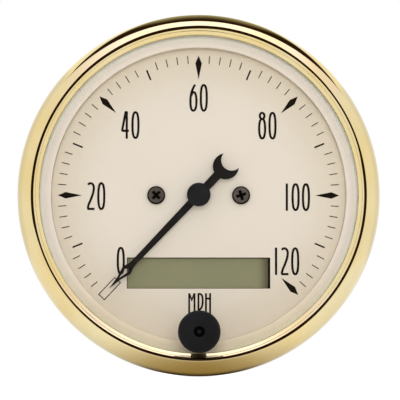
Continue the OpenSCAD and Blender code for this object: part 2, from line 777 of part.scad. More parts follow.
// The strap's outline in x and z, a U round the case with its feet on the panel
module strap_outline() {
    bend_out = strap_bend + strap_t;
    right = concat(
        arc(strap_out - bend_out, strap_back + bend_out, bend_out, -90, 0, 6),
        [[strap_out, -panel_t], [strap_in, -panel_t]],
        arc(strap_out - bend_out, strap_back + bend_out, strap_bend, 0, -90, 6)
    );
    left = [for (p = reversed(right)) [-p[0], p[1]]];
    polygon(concat(right, left));
}
module mounting_bracket() color("#b9bcc0") stand() difference() {
    rotate([90, 0, 0]) linear_extrude(strap_w, center = true) strap_outline();
    at_studs() tube(stud_r + 0.3, strap_back - cut, strap_front + cut);
}
module lock_washers() color("#aeb2b6") stand() at_studs()
    tube(washer_r, strap_back - washer_t, strap_back, stud_r + 0.3);
module bracket_nuts() color("#c3c6ca") stand() at_studs()
    hex_nut(strap_back - washer_t - nut_t, strap_back - washer_t, stud_r + run_gap);

bezel();
lens();
lens_gasket();
spacer_ring();
dial();
scale_markings();
dial_screws();
pointer();
pointer_cap();
pointer_hub();
spindle();
hairspring_collet();
hairspring();
rotor_magnet();
bobbin_front();
bobbin_rear();
cosine_coil();
sine_coil();
shield_can();
movement_bridge();
front_bearing();
rear_bearing();
light_diffuser();
lcd_panel();
lcd_holder();
contact_strips();
display_board();
display_pins();
main_board();
microcontroller();
capacitors();
voltage_regulator();
crystal();
front_pillars();
rear_pillars();
pillar_screws();
reset_knob();
reset_stem();
stem_bush();
reset_spring();
spring_seat();
reset_switch();
switch_plunger();
case();
terminal_block();
blade_terminals();
terminal_leads();
lamp_socket_left();
lamp_socket_right();
lamp_left();
lamp_right();
mounting_studs();
stud_nuts();
mounting_bracket();
lock_washers();
bracket_nuts();
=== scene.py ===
import bpy
import bmesh
import math
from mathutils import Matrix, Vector
from mathutils.geometry import delaunay_2d_cdt


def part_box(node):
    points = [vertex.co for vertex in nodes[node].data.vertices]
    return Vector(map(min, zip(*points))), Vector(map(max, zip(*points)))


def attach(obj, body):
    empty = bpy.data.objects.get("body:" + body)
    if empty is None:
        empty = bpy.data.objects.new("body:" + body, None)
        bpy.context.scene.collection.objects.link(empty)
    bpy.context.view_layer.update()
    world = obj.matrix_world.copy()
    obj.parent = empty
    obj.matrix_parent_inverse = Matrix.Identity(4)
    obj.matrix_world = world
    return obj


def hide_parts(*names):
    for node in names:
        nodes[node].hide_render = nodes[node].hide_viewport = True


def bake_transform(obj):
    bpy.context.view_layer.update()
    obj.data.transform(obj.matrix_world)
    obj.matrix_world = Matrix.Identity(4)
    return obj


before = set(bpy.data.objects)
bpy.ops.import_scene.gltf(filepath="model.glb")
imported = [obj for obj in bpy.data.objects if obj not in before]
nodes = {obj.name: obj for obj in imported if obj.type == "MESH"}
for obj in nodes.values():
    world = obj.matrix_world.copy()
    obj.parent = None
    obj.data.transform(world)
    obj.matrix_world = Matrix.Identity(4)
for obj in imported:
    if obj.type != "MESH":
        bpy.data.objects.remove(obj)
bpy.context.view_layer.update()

# All sizes below are bench millimetres: x right, y up, z towards the driver, z = 0 on the panel
MM = 0.001
PHOTO = 400


def spot(x, y, z):
    """A bench point as metres in the shared frame."""
    return (x * MM, -z * MM, y * MM)


# Camera: GAUGE shows OFF_CENTRE pixels right of and above the middle of the picture, and a
# pixel spans PIXEL metres there

GAUGE = Vector((0, -0.00262, 0))
AZIMUTH = math.radians(-0.7)
ELEVATION = math.radians(-4.1)
DISTANCE = 0.56
FOCAL_PX = 2358
SENSOR = 36
OFF_CENTRE = (-1.3, 5.1)
PIXEL = 0.000238
to_camera = Vector((math.sin(AZIMUTH) * math.cos(ELEVATION),
                    -math.cos(AZIMUTH) * math.cos(ELEVATION),
                    math.sin(ELEVATION)))
to_right = Vector((0, 0, 1)).cross(to_camera).normalized()
to_top = to_camera.cross(to_right).normalized()


def add_camera():
    data = bpy.data.cameras.new("camera")
    data.sensor_width = SENSOR
    data.lens = FOCAL_PX * SENSOR / PHOTO
    data.clip_start = 0.01
    data.clip_end = 50
    camera = bpy.data.objects.new("camera", data)
    bpy.context.scene.collection.objects.link(camera)
    camera.location = GAUGE + to_camera * DISTANCE
    aim = GAUGE - to_right * OFF_CENTRE[0] * PIXEL - to_top * OFF_CENTRE[1] * PIXEL
    camera.rotation_euler = (aim - camera.location).to_track_quat("-Z", "Y").to_euler()
    bpy.context.scene.camera = camera


# Node graphs

WHITE = (1, 1, 1, 1)
BLACK = (0, 0, 0, 1)


class Graph:
    """Adds nodes to a material's or a world's tree. node gives back a node, split three
    sockets, and each of the others an output socket or nothing."""

    def __init__(self, owner):
        owner.use_nodes = True
        self.tree = owner.node_tree
        self.tree.nodes.clear()

    def node(self, kind, inputs=None, **settings):
        made = self.tree.nodes.new(kind)
        for key, value in settings.items():
            setattr(made, key, value)
        for key, value in (inputs or {}).items():
            self.feed(made.inputs[key], value)
        return made

    def feed(self, socket, value):
        if isinstance(value, bpy.types.NodeSocket):
            self.tree.links.new(value, socket)
        else:
            socket.default_value = value

    def math(self, operation, a, b=0.0, c=0.0):
        made = self.node("ShaderNodeMath", {0: a, 1: b, 2: c}, operation=operation)
        return made.outputs[0]

    def dot(self, a, b):
        made = self.node("ShaderNodeVectorMath", {0: a, 1: b}, operation="DOT_PRODUCT")
        return made.outputs["Value"]

    def length(self, vector):
        made = self.node("ShaderNodeVectorMath", {0: vector}, operation="LENGTH")
        return made.outputs["Value"]

    def squeezed(self, vector, factors):
        """The vector with each of its parts multiplied by a factor of its own."""
        made = self.node("ShaderNodeVectorMath", {0: vector, 1: factors}, operation="MULTIPLY")
        return made.outputs["Vector"]

    def scaled(self, colour, factor):
        start = colour if isinstance(colour, bpy.types.NodeSocket) else colour[:3]
        made = self.node("ShaderNodeVectorMath", {0: start, "Scale": factor}, operation="SCALE")
        return made.outputs["Vector"]

    def split(self, vector):
        """The three parts of a vector, as sockets."""
        return self.node("ShaderNodeSeparateXYZ", {0: vector}).outputs

    def band(self, value, low, high, out_low=0.0, out_high=1.0, smooth=True):
        """value mapped from one range to another, held at the ends."""
        made = self.node("ShaderNodeMapRange", {
            "Value": value, "From Min": low, "From Max": high,
            "To Min": out_low, "To Max": out_high,
        }, interpolation_type="SMOOTHSTEP" if smooth else "LINEAR")
        return made.outputs["Result"]

    def turn_band(self, angle, low, high, out_low=0.0, out_high=1.0):
        """A band whose range is given in degrees."""
        return self.band(angle, math.radians(low), math.radians(high), out_low, out_high)

    def noise(self, vector, scale, detail=4.0, rough=0.55):
        made = self.node("ShaderNodeTexNoise", {
            "Vector": vector, "Scale": scale, "Detail": detail, "Roughness": rough})
        return made.outputs["Fac"]

    def mix(self, factor, a, b, blend="MIX"):
        """Colour a turned into colour b as far as factor says."""
        made = self.node("ShaderNodeMix", {0: factor, 6: a, 7: b}, data_type="RGBA",
                         blend_type=blend)
        return made.outputs[2]

    def tinted(self, colour, share, tint):
        """colour multiplied by tint as far as share says."""
        return self.mix(share, colour, tint, "MULTIPLY")

    def ramp(self, value, stops):
        """A grey level that goes through (place, level) stops in a straight line."""
        made = self.node("ShaderNodeValToRGB", {"Fac": value})
        marks = made.color_ramp.elements
        while len(marks) > 1:
            marks.remove(marks[-1])
        for i, (place, level) in enumerate(stops):
            mark = marks[0] if i == 0 else marks.new(place)
            mark.position = place
            mark.color = (level, level, level, 1)
        return made.outputs["Color"]

    def shader(self, kind, inputs=None):
        return self.node(kind, inputs).outputs[0]

    def either(self, factor, a, b):
        """Shader a turned into shader b as far as factor says."""
        return self.shader("ShaderNodeMixShader", {0: factor, 1: a, 2: b})

    def out(self, shader, kind="ShaderNodeOutputMaterial"):
        self.node(kind, {"Surface": shader})


# Studio

# TOP_AT and GAP_SPAN are degrees round the line of sight, and angles off it are shares of half
# a turn. Stops are (place, level)
TOP_AT = 87
PANEL = (1, 0.98, 1.2)
PANEL_EDGE = 0.568
GAP_SPAN = 47
GAP_WIDTHS = [(0, 0.36), (0.4, 0.27), (0.6, 0.18), (0.8, 0.1), (0.95, 0.045), (1, 0.015)]
GAP_DARK = (0.02, 0.01, 0.003, 1)
GAP_DUSK = (0.36, 0.34, 0.22, 1)
PAST_GAP = (0.92, 0.9, 0.82, 1)
SIDE_LEVELS = [(0, 0.86), (0.6, 0.84), (0.72, 0.72), (1, 0.8)]
BELOW = (0.88, 0.87, 0.82, 1)
FRONT_REACH = [(0, 0.36), (0.1, 0.3), (0.22, 0.16), (0.3, 0.16), (0.5, 0.235), (0.75, 0.225),
               (1, 0.12)]
FRONT_DARK = (0.02, 0.009, 0.003, 1)
FRONT_SOFT = (0.75, 0.74, 0.7, 1)
MIRRORED_LEVEL = 1.12
SCATTERED_LEVEL = 0.9


def overhead(g, off_axis, from_top):
    """The bright panel, then the dark gap behind it, which narrows to the sides, then pale."""
    panel = g.scaled(PANEL, g.turn_band(from_top, 8, 50, 1.4, 0.86))
    edge = g.math("MULTIPLY_ADD", g.math("MULTIPLY", from_top, from_top), 0.055, PANEL_EDGE)
    past = g.math("SUBTRACT", off_axis, edge)
    width = g.ramp(g.math("DIVIDE", from_top, math.radians(GAP_SPAN)), GAP_WIDTHS)
    into = g.math("DIVIDE", past, width)
    side = g.turn_band(from_top, 12, 32, 0, 0.6)
    dusk = g.band(g.math("SUBTRACT", into, side), 0.15, 0.95)
    gap = g.mix(dusk, GAP_DARK, GAP_DUSK)
    behind = g.mix(g.band(into, 0.95, 1.15), gap, PAST_GAP)
    return g.mix(g.band(past, -0.004, 0.004), panel, behind)


def surroundings(g, off_axis, turn, from_top):
    """The studio without its dark place: the panel above, pale sides and a pale lower part."""
    top = g.turn_band(from_top, 46, 52, 1, 0)
    beside = g.mix(top, g.ramp(off_axis, SIDE_LEVELS), overhead(g, off_axis, from_top))
    from_bottom = g.math("ABSOLUTE", g.math("ADD", turn, math.radians(90)))
    return g.mix(g.turn_band(from_bottom, 12, 42, 1, 0), beside, BELOW)


def add_world():
    """White to the camera and through clear glass. To the object it is a soft studio with a
    dark place behind the camera, which light that a matt surface has scattered doesn't see."""
    world = bpy.data.worlds.new("studio")
    bpy.context.scene.world = world
    g = Graph(world)
    way = g.node("ShaderNodeTexCoord").outputs["Generated"]
    off_axis = g.math("DIVIDE", g.math("ARCCOSINE", g.dot(way, to_camera)), math.pi)
    turn = g.math("ARCTAN2", g.dot(way, to_top), g.dot(way, to_right))
    from_top = g.math("ABSOLUTE", g.math("SUBTRACT", turn, math.radians(TOP_AT)))
    path = g.node("ShaderNodeLightPath").outputs
    scattered = g.math("MINIMUM", path["Diffuse Depth"], 1)
    front = g.mix(scattered, FRONT_DARK, FRONT_SOFT)
    reach = g.ramp(g.math("DIVIDE", from_top, math.pi), FRONT_REACH)
    ahead = g.band(g.math("SUBTRACT", off_axis, reach), -0.01, 0.01)
    studio = g.shader("ShaderNodeBackground", {
        "Color": g.mix(ahead, front, surroundings(g, off_axis, turn, from_top)),
        "Strength": g.band(scattered, 0, 1, MIRRORED_LEVEL, SCATTERED_LEVEL, False)})
    white = g.shader("ShaderNodeBackground", {"Color": WHITE, "Strength": 1})
    seen = g.math("MAXIMUM", path["Is Camera Ray"], path["Is Transmission Ray"])
    g.out(g.either(seen, studio, white), "ShaderNodeOutputWorld")


FLOOR_Z = -43.3
FLOOR_R = 2500
FLOOR_GREY = (0.5, 0.5, 0.5, 1)
FLOOR_GLOW = 0.9
# Painted shadow on the floor: dark right under the bezel's edge, then warm near the gauge
UNDER_EDGE_SHADOW = (0.06, 0.04, 0.015, 1)
NEAR_EDGE_SHADOW = (0.39, 0.3, 0.13, 1)
FURTHER_OUT = (1, 1.02, 1.03, 1)


def floor_seen(g, away):
    """The camera's floor: matt with a glow where the gauge's shadow falls, and white further
    out."""
    matt = g.shader("ShaderNodeBsdfDiffuse", {"Color": FLOOR_GREY})
    glow = g.shader("ShaderNodeEmission", {"Color": WHITE, "Strength": FLOOR_GLOW})
    near = g.shader("ShaderNodeAddShader", {0: matt, 1: glow})
    white = g.shader("ShaderNodeEmission", {"Color": WHITE, "Strength": 1})
    return g.either(g.band(away, 0.12, 0.45), near, white)


def floor_felt(g, place, away, mirrored, clear):
    """The gauge's floor: a painted shadow, dark right under the bezel's edge and warm near it,
    with a little light of its own where metal mirrors it, and clear ahead of the gauge and further
    out."""
    reach = g.length(g.squeezed(place, (1, 1, 0)))
    close = g.length(g.squeezed(place, (0.3, 1, 0)))
    # painted shadow: darkest right under the bezel's edge, darker and warm near the gauge
    under = g.mix(g.band(close, 0.0034, 0.0058), UNDER_EDGE_SHADOW, NEAR_EDGE_SHADOW)
    tone = g.mix(g.band(reach, 0.005, 0.034), under, FURTHER_OUT)
    matt = g.shader("ShaderNodeBsdfDiffuse", {"Color": g.scaled(tone, 0.45)})
    shine = g.shader("ShaderNodeEmission", {
        "Color": tone, "Strength": g.math("MULTIPLY", mirrored, 0.62)})
    warm = g.shader("ShaderNodeAddShader", {0: matt, 1: shine})
    lost = g.math("MAXIMUM", g.band(away, 0.12, 0.25),
                  g.band(g.split(place)[1], -0.018, -0.026))
    return g.either(lost, warm, clear)


def add_floor():
    """A round pale floor, clear from below, that keeps the gauge's shadow near it."""
    mesh = bpy.data.meshes.new("floor")
    ring = [spot(x, FLOOR_Z, z) for x, z in circle(FLOOR_R, 96)]
    mesh.from_pydata(ring, [], [list(range(len(ring)))[::-1]])
    floor = bpy.data.objects.new("floor", mesh)
    bpy.context.scene.collection.objects.link(floor)
    material = bpy.data.materials.new("floor")
    mesh.materials.append(material)
    g = Graph(material)
    geometry = g.node("ShaderNodeNewGeometry").outputs
    path = g.node("ShaderNodeLightPath").outputs
    place = geometry["Position"]
    away = g.length(place)
    clear = g.shader("ShaderNodeBsdfTransparent")
    felt = floor_felt(g, place, away, path["Is Glossy Ray"], clear)
    above = g.either(path["Is Camera Ray"], felt, floor_seen(g, away))
    g.out(g.either(geometry["Backfacing"], above, clear))


KEY_AT = (0.01, -0.34, 0.04)
KEY_SIZE = 0.18
KEY_WATTS = 0.55


def add_key():
    """One soft lamp in front of the gauge, a little above its middle."""
    data = bpy.data.lights.new("key", "AREA")
    data.shape = "SQUARE"
    data.size = KEY_SIZE
    data.energy = KEY_WATTS
    key = bpy.data.objects.new("key", data)
    bpy.context.scene.collection.objects.link(key)
    key.location = KEY_AT
    key.rotation_euler = (-Vector(KEY_AT)).to_track_quat("-Z", "Y").to_euler()
    key.visible_camera = False
    key.visible_glossy = False


# Materials

def finish(name, colour, rough, metal=0.0, tone=0.07, grain=1800, bump=0.004, pattern=None,
           specular=0.5):
    """A plain finish: broad and fine changes of tone, uneven gloss and a fine surface grain."""
    material = bpy.data.materials.new(name)
    g = Graph(material)
    where = g.node("ShaderNodeTexCoord").outputs["Object"]
    broad = g.noise(where, grain / 16, 3)
    fine = g.noise(where, grain, 6)
    base = (*colour, 1)
    height = fine
    if pattern:
        base, height = pattern(g, where, base, fine)
    shade = g.math("MULTIPLY", g.band(broad, 0.3, 0.7, 1 - tone, 1 + tone),
                   g.band(fine, 0.25, 0.75, 1 - tone / 2, 1 + tone / 2))
    gloss = g.band(g.math("ADD", broad, fine), 0.6, 1.4, rough * 0.85, min(1, rough * 1.15))
    relief = g.node("ShaderNodeBump", {"Height": height, "Distance": bump * MM, "Strength": 1})
    surface = g.shader("ShaderNodeBsdfPrincipled", {
        "Base Color": g.scaled(base, shade), "Roughness": gloss, "Metallic": metal,
        "Specular IOR Level": specular, "Normal": relief.outputs["Normal"]})
    g.out(surface)
    return material


def toned(base, *factors):
    """base with its red, green and blue multiplied by one factor or by three."""
    factors = factors * 3 if len(factors) == 1 else factors
    return tuple(min(1, c * factor) for c, factor in zip(base, factors)) + (1,)


def from_axis(g, where):
    """Distance from the gauge's axis, in metres."""
    return g.length(g.squeezed(where, (1, 0, 1)))


def spun(g, where, base, fine):
    """Fine rings left by the spinning tool, and a warmer tone in broad patches."""
    along = g.math("ADD", from_axis(g, where), g.split(where)[1])
    rings = g.node("ShaderNodeTexNoise", {"W": g.math("MULTIPLY", along, 5200), "Detail": 3.0},
                   noise_dimensions="1D").outputs["Fac"]
    warm = g.noise(where, 60, 2)
    return g.mix(g.band(warm, 0.35, 0.75), base, toned(base, 0.97, 0.9, 0.72)), rings


def spangle(g, where, base, fine):
    """Zinc crystals in patches of slightly different grey."""
    cells = g.node("ShaderNodeTexVoronoi", {"Vector": where, "Scale": 420.0})
    grey = g.node("ShaderNodeSeparateColor", {0: cells.outputs["Color"]}).outputs[0]
    return g.mix(g.band(grey, 0, 1), base, toned(base, 0.78)), fine


def windings(g, where, base, fine):
    """Turns of fine enamelled wire side by side."""
    turns = g.node("ShaderNodeTexWave", {"Vector": where, "Scale": 900.0, "Distortion": 0.6},
                   bands_direction="Y").outputs["Fac"]
    return g.mix(turns, toned(base, 0.45), base), turns


def traces(g, where, base, fine):
    """Copper tracks that show as paler lines under the green mask."""
    x, _, z = g.split(where)
    flat = g.node("ShaderNodeCombineXYZ", {0: x, 1: z, 2: 0.0}).outputs[0]
    tracks = g.node("ShaderNodeTexBrick", {
        "Vector": flat, "Scale": 260.0, "Mortar Size": 0.06, "Color1": BLACK, "Color2": BLACK,
        "Mortar": WHITE}).outputs["Color"]
    return g.mix(tracks, base, toned(base, 3.2, 1.5, 1.8)), tracks


def dial_mottle_and_painted_shade(g, where, base, fine):
    """A dial's cream face: nearly even, with the faint mottle of screen printing, and painted
    shade that darkens it towards its edge and its lower half."""
    mottle = g.noise(where, 5200, 2)
    even = g.mix(g.band(mottle, 0.35, 0.65), base, toned(base, 1.04))
    # painted shade: darker near the ring round the dial and over its lower half
    deep = g.math("ADD", g.band(from_axis(g, where), 0.022, 0.034, 0, 0.5),
                  g.band(g.split(where)[2], -0.004, -0.032, 0, 0.28))
    return g.tinted(even, deep, (0.88, 0.85, 0.76, 1)), mottle


def ring_painted_light_and_shade(g, where, base, fine):
    """A ring's face, paler towards its outer edge as painted light, and darker and warmer towards
    the bottom as painted shade.
    """
    # painted light: paler near the bezel's lip, which shades the ring there
    paler = g.mix(g.band(from_axis(g, where), 0.0362, 0.0376), base, toned(base, 1.28))
    # painted shade: darker and warmer towards the bottom
    painted_foot_shade = g.band(g.split(where)[2], -0.008, -0.034)
    return g.tinted(paler, painted_foot_shade, (0.95, 0.91, 0.75, 1)), fine


def painted_window_shadow(g, where, base, fine):
    """The display's glass, browner towards the right end of its window as painted shadow of the
    window's edge.
    """
    # painted shadow of the window's right edge on the glass
    right = g.band(g.split(where)[0], 0.0138, 0.0168)
    return g.tinted(base, right, (0.42, 0.36, 0.38, 1)), fine


def clear(name, tint, share):
    """Clear moulded plastic or glass: light goes straight through, and it shines at a slant."""
    material = bpy.data.materials.new(name)
    g = Graph(material)
    where = g.node("ShaderNodeTexCoord").outputs["Object"]
    haze = g.noise(where, 900, 3)
    through = g.shader("ShaderNodeBsdfTransparent", {
        "Color": g.scaled((*tint, 1), g.band(haze, 0.3, 0.7, share - 0.008, share))})
    shine = g.shader("ShaderNodeBsdfGlossy", {
        "Color": WHITE, "Roughness": g.band(haze, 0.3, 0.7, 0.01, 0.03)})
    slant = g.node("ShaderNodeFresnel", {"IOR": 1.49}).outputs[0]
    outer = g.math("SUBTRACT", 1, g.node("ShaderNodeNewGeometry").outputs["Backfacing"])
    g.out(g.either(g.math("MULTIPLY", slant, outer), through, shine))
    return material


# Each finish is (colour, rough, metal, tone, grain, bump), and the last ones may be left out
FINISHES = {
    "gold_bezel": ((0.88, 0.74, 0.42), 0.05, 1, 0.02, 1200, 0.0004),
    "black_rubber": ((0.022, 0.022, 0.022), 0.7, 0, 0.15),
    "cream_plastic": ((0.845, 0.755, 0.65), 0.5, 0, 0.015, 1500, 0.001),
    "cream_dial": ((0.785, 0.71, 0.595), 0.6, 0, 0.008, 900, 0.001),
    "dial_ink": ((0.008, 0.005, 0.003), 0.5, 0, 0.1, 2500, 0.002),
    "black_screw": ((0.11, 0.09, 0.07), 0.5, 0.3, 0.12, 2500, 0.003),
    "black_pointer": ((0.011, 0.009, 0.008), 0.55, 0, 0.12, 3500, 0.004),
    "pointer_plastic": ((0.012, 0.012, 0.013), 0.5, 0, 0.1, 3500, 0.003),
    "bright_steel": ((0.62, 0.62, 0.63), 0.25, 1),
    "brass": ((0.72, 0.5, 0.2), 0.3, 1),
    "magnet": ((0.12, 0.12, 0.125), 0.55, 0.5, 0.12),
    "dark_plastic": ((0.03, 0.031, 0.034), 0.48, 0, 0.1, 2600, 0.008),
    "copper_wire": ((0.62, 0.22, 0.09), 0.35, 0.9, 0.06, 1800, 0.02),
    "white_plastic": ((0.8, 0.8, 0.77), 0.45, 0, 0.03),
    "lcd_glass": ((0.262, 0.258, 0.139), 0.35, 0, 0.03, 600, 0.0005),
    "contact_rubber": ((0.5, 0.18, 0.24), 0.7, 0, 0.1),
    "circuit_board": ((0.02, 0.11, 0.04), 0.4, 0, 0.1, 1500, 0.02),
    "tinned_metal": ((0.66, 0.64, 0.6), 0.35, 1, 0.08, 2200, 0.002),
    "component_black": ((0.02, 0.02, 0.021), 0.5, 0, 0.12),
    "capacitor_sleeve": ((0.025, 0.035, 0.08), 0.4, 0, 0.08),
    "zinc_steel": ((0.6, 0.61, 0.62), 0.34, 1, 0.08, 1600, 0.002),
    "button_plastic": ((0.007, 0.007, 0.0075), 0.5, 0, 0.1, 3200, 0.004),
    # The next three are painted shade: a dark ring at the lens's seam with the lip, a dark skin on
    # the ring's inner wall, and a black fill in recesses
    "seam_painted_shade": ((0.44, 0.36, 0.19), 0.7, 0, 0.2, 1500, 0.002),
    "wall_painted_shade": ((0.6, 0.53, 0.42), 0.7, 0, 0.1, 1500, 0.002),
    "recess_painted_shade": ((0.002, 0.002, 0.002), 0.8, 0, 0.1),
    "spring_steel": ((0.5, 0.5, 0.51), 0.3, 1),
    "acetal": ((0.72, 0.7, 0.63), 0.45, 0, 0.04),
    "case_paint": ((0.024, 0.025, 0.027), 0.42, 0, 0.1, 2400, 0.012),
}
PATTERNS = {
    "gold_bezel": spun, "cream_plastic": ring_painted_light_and_shade, "cream_dial": dial_mottle_and_painted_shade,
    "copper_wire": windings, "lcd_glass": painted_window_shadow, "circuit_board": traces,
    "zinc_steel": spangle,
}
SPECULAR = {"dial_ink": 0.15, "black_pointer": 0.2, "pointer_plastic": 0.25,
            "button_plastic": 0.2, "recess_painted_shade": 0}

MATERIALS = {name: finish(name, *row, pattern=PATTERNS.get(name), specular=SPECULAR.get(name, 0.5))
             for name, row in FINISHES.items()}
MATERIALS["clear_lens"] = clear("clear_lens", (1, 1, 1), 0.985)
MATERIALS["lamp_glass"] = clear("lamp_glass", (0.96, 0.98, 0.96), 0.93)

SLOT_OF = {
    "gold_bezel": ["bezel"],
    "clear_lens": ["lens"],
    "black_rubber": ["lens_gasket"],
    "cream_plastic": ["spacer_ring"],
    "cream_dial": ["dial"],
    "dial_ink": ["scale_markings"],
    "black_screw": ["dial_screws"],
    "black_pointer": ["pointer"],
    "pointer_plastic": ["pointer_cap", "pointer_hub"],
    "bright_steel": ["spindle", "shield_can", "crystal"],
    "brass": ["hairspring_collet", "front_bearing", "rear_bearing"],
    "spring_steel": ["hairspring", "reset_spring"],
    "magnet": ["rotor_magnet"],
    "dark_plastic": ["bobbin_front", "bobbin_rear", "lcd_holder", "reset_stem",
                     "terminal_block", "lamp_socket_left", "lamp_socket_right"],
    "copper_wire": ["cosine_coil", "sine_coil", "terminal_leads"],
    "white_plastic": ["movement_bridge", "light_diffuser"],
    "lcd_glass": ["lcd_panel"],
    "contact_rubber": ["contact_strips"],
    "circuit_board": ["display_board", "main_board"],
    "tinned_metal": ["display_pins", "blade_terminals"],
    "component_black": ["microcontroller", "voltage_regulator", "reset_switch"],
    "capacitor_sleeve": ["capacitors"],
    "acetal": ["front_pillars", "stem_bush", "switch_plunger"],
    "zinc_steel": ["rear_pillars", "pillar_screws", "spring_seat", "mounting_studs",
                   "stud_nuts", "mounting_bracket", "lock_washers", "bracket_nuts"],
    "button_plastic": ["reset_knob"],
    "case_paint": ["case"],
    "lamp_glass": ["lamp_left", "lamp_right"],
}


def dress_nodes():
    """Gives each CAD node the finish of its slot."""
    for slot, names in SLOT_OF.items():
        for name in names:
            for held in nodes[name].material_slots:
                held.material = MATERIALS[slot]


# Shapes: each is (points in bench millimetres, faces)

def arc(cx, cz, r, start, end, steps):
    """Points along an arc, angles in degrees."""
    angles = [math.radians(start + (end - start) * i / steps) for i in range(steps + 1)]
    return [(cx + r * math.cos(a), cz + r * math.sin(a)) for a in angles]


def circle(radius, steps, cx=0, cy=0):
    """Points round a circle, the first one on its right."""
    turns = [2 * math.pi * i / steps for i in range(steps)]
    return [(cx + radius * math.cos(a), cy + radius * math.sin(a)) for a in turns]


def box_outline(left, right, low, top):
    return [(left, low), (right, low), (right, top), (left, top)]


def turned(profile_at, steps, cx=0, cy=0, closed=True):
    """A solid of revolution whose (radius, height) profile may change with the angle."""
    points, faces = [], []
    for i in range(steps):
        a = 2 * math.pi * i / steps
        profile = profile_at(a)
        count = len(profile)
        points += [(cx + r * math.cos(a), cy + r * math.sin(a), z) for r, z in profile]
    for i in range(steps):
        here, there = i * count, (i + 1) % steps * count
        for k in range(count if closed else count - 1):
            m = (k + 1) % count
            faces.append((here + k, there + k, there + m, here + m))
    return points, faces


def lathe(profile, steps=192, cx=0, cy=0, closed=True):
    """A solid of revolution with the same (radius, height) profile all round."""
    return turned(lambda a: profile, steps, cx, cy, closed)


def joined(*shapes):
    """Several shapes as one."""
    points, faces = [], []
    for some_points, some_faces in shapes:
        start = len(points)
        points += some_points
        faces += [tuple(start + i for i in face) for face in some_faces]
    return points, faces


def moved(shape, place):
    """The shape with each point (u, v, w) put at place(u, v, w)."""
    return [place(*p) for p in shape[0]], shape[1]


def shifted(shape, x=0, y=0):
    return moved(shape, lambda u, v, w: (x + u, y + v, w))


def between(rows, count):
    """The faces between rings of count points that follow each other in a list of points."""
    return [(j * count + i, j * count + (i + 1) % count, (j + 1) * count + (i + 1) % count,
             (j + 1) * count + i) for j in range(rows - 1) for i in range(count)]


def holds(ring, x, y):
    """Whether the point lies inside the ring."""
    odd = False
    for (ax, ay), (bx, by) in zip(ring, ring[1:] + ring[:1]):
        if (ay > y) != (by > y) and x < ax + (bx - ax) * (y - ay) / (by - ay):
            odd = not odd
    return odd


def triangles(rings):
    """All rings in one triangulation: its points, and each triangle with the rings it is in."""
    coords, edges = [], []
    for ring in rings:
        start, count = len(coords), len(ring)
        edges += [(start + i, start + (i + 1) % count) for i in range(count)]
        coords += [Vector(p) for p in ring]
    flat, _, found, _, _, _ = delaunay_2d_cdt(coords, edges, [], 0, 1e-6)
    flat = [tuple(p) for p in flat]
    kept = []
    for t in found:
        x, y = (sum(flat[i][k] for i in t) / 3 for k in (0, 1))
        own = [k for k, ring in enumerate(rings) if holds(ring, x, y)]
        if own:
            kept.append((tuple(t), own))
    return flat, kept


def border(faces):
    """The directed edges that only one of the faces has."""
    edges = {}
    for face in faces:
        for a, b in zip(face, face[1:] + face[:1]):
            if (b, a) in edges:
                del edges[(b, a)]
            else:
                edges[(a, b)] = True
    return list(edges)


def plate(outlines, low, high, holes=()):
    """A flat solid: the union of closed outlines, less the holes, between two heights."""
    flat, found = triangles(list(outlines) + list(holes))
    kept = [t for t, own in found if max(own) < len(outlines)]
    count = len(flat)
    points = [(x, y, low) for x, y in flat] + [(x, y, high) for x, y in flat]
    faces = [t[::-1] for t in kept] + [tuple(i + count for i in t) for t in kept]
    faces += [(a, b, b + count, a + count) for a, b in border(kept)]
    return points, faces


def piece(name, shape, body, slot, stands_for=(), sharp=35, bevel=0.0, look=None):
    """Makes the object with its finish, hangs it on its body if it rides on one, and hides the
    nodes that it stands for."""
    mesh = bpy.data.meshes.new(name)
    mesh.from_pydata([spot(*p) for p in shape[0]], [], [list(f) for f in shape[1]])
    work = bmesh.new()
    work.from_mesh(mesh)
    bmesh.ops.remove_doubles(work, verts=work.verts, dist=1e-7)
    loose = [v for v in work.verts if not v.link_faces]
    bmesh.ops.delete(work, geom=loose, context="VERTS")
    bmesh.ops.recalc_face_normals(work, faces=work.faces)
    work.to_mesh(mesh)
    work.free()
    mesh.shade_smooth()
    mesh.set_sharp_from_angle(angle=math.radians(sharp))
    obj = bpy.data.objects.new(name, mesh)
    bpy.context.scene.collection.objects.link(obj)
    mesh.materials.append(MATERIALS[look or slot])
    if bevel:
        add_bevel(obj, bevel)
    if body:
        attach(obj, body)
    if stands_for:
        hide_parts(*stands_for)
    return obj


def add_bevel(obj, width):
    """Rounds the object's sharp edges a little."""
    rounding = obj.modifiers.new("edges", "BEVEL")
    rounding.width = width * MM
    rounding.segments = 2
    rounding.limit_method = "ANGLE"
    rounding.angle_limit = math.radians(40)
    rounding.harden_normals = True


# Bezel

BEZEL_R = 43.0
SHEET = 0.8
SEAT_R = 39.7
SLOPE_C = (35.433, 2.62)
SLOPE_R = 7.567
CREST_C = (39.2, 8.0)
CREST_R = 1.0
LIP_R = 37.65
LIP_Z = 6.6
EDGE_R = 0.6
FILLET_R = 0.2


